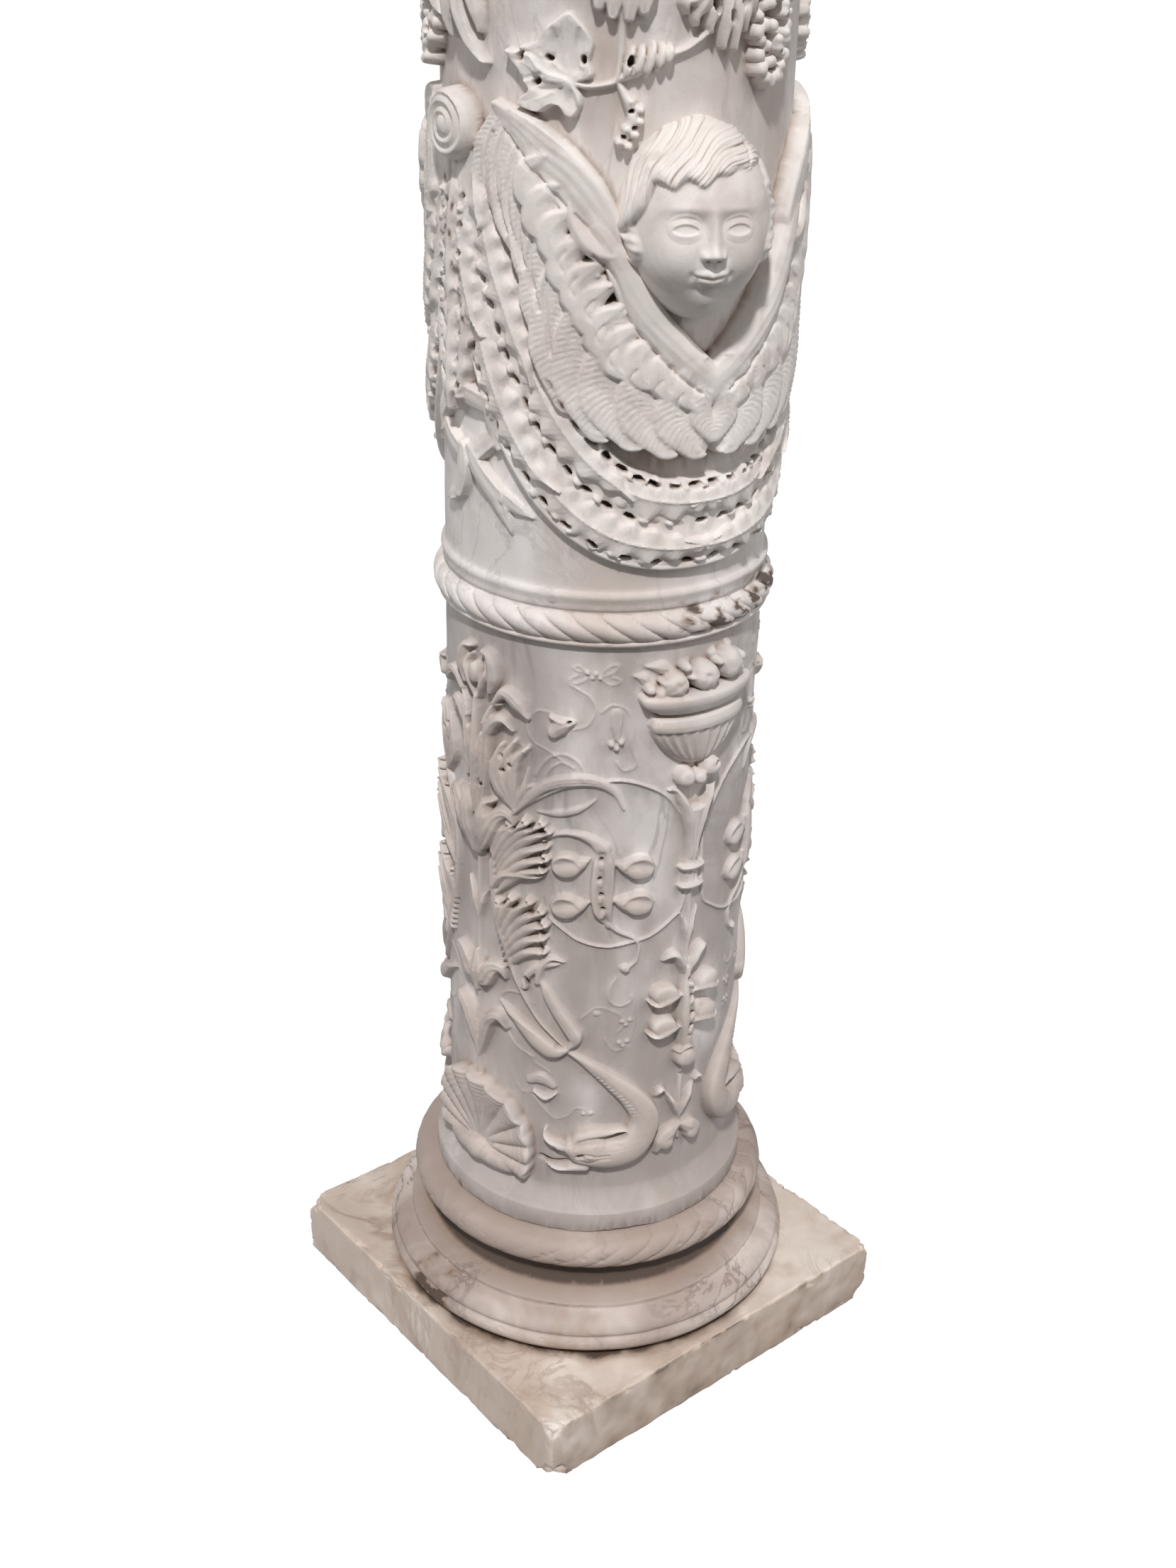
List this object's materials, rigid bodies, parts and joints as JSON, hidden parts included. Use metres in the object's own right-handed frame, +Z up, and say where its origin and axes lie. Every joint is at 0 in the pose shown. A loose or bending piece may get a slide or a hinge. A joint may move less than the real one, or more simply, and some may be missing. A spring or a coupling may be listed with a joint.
{
  "type": "carved marble column",
  "caption": "Free-standing round marble column with a square plinth, roped mouldings, scrollwork and cherub-and-garland reliefs and a plain square-topped capital.",
  "frame": {"origin": "centre of the column's underside, on the floor", "axes": "+Z up along the column's axis, X and Y along the plinth's sides; the urn of the lower drum and one cherub face -Y"},
  "size_m": [0.46, 0.46, 2.1217],
  "materials": {
    "plinth_marble": "worn cream and tan marble, honed",
    "base_marble": "white marble with grey-purple veins, worn",
    "lower_drum_marble": "grey-white carved marble, worn",
    "upper_drum_marble": "warm white carved marble with brown stains",
    "capital_marble": "warm white carved marble"
  },
  "bodies": {
    "root": {"plinth": "plinth_marble", "base_mouldings": "base_marble", "lower_drum": "lower_drum_marble", "upper_drum": "upper_drum_marble", "capital": "capital_marble"}
  },
  "joints": []
}
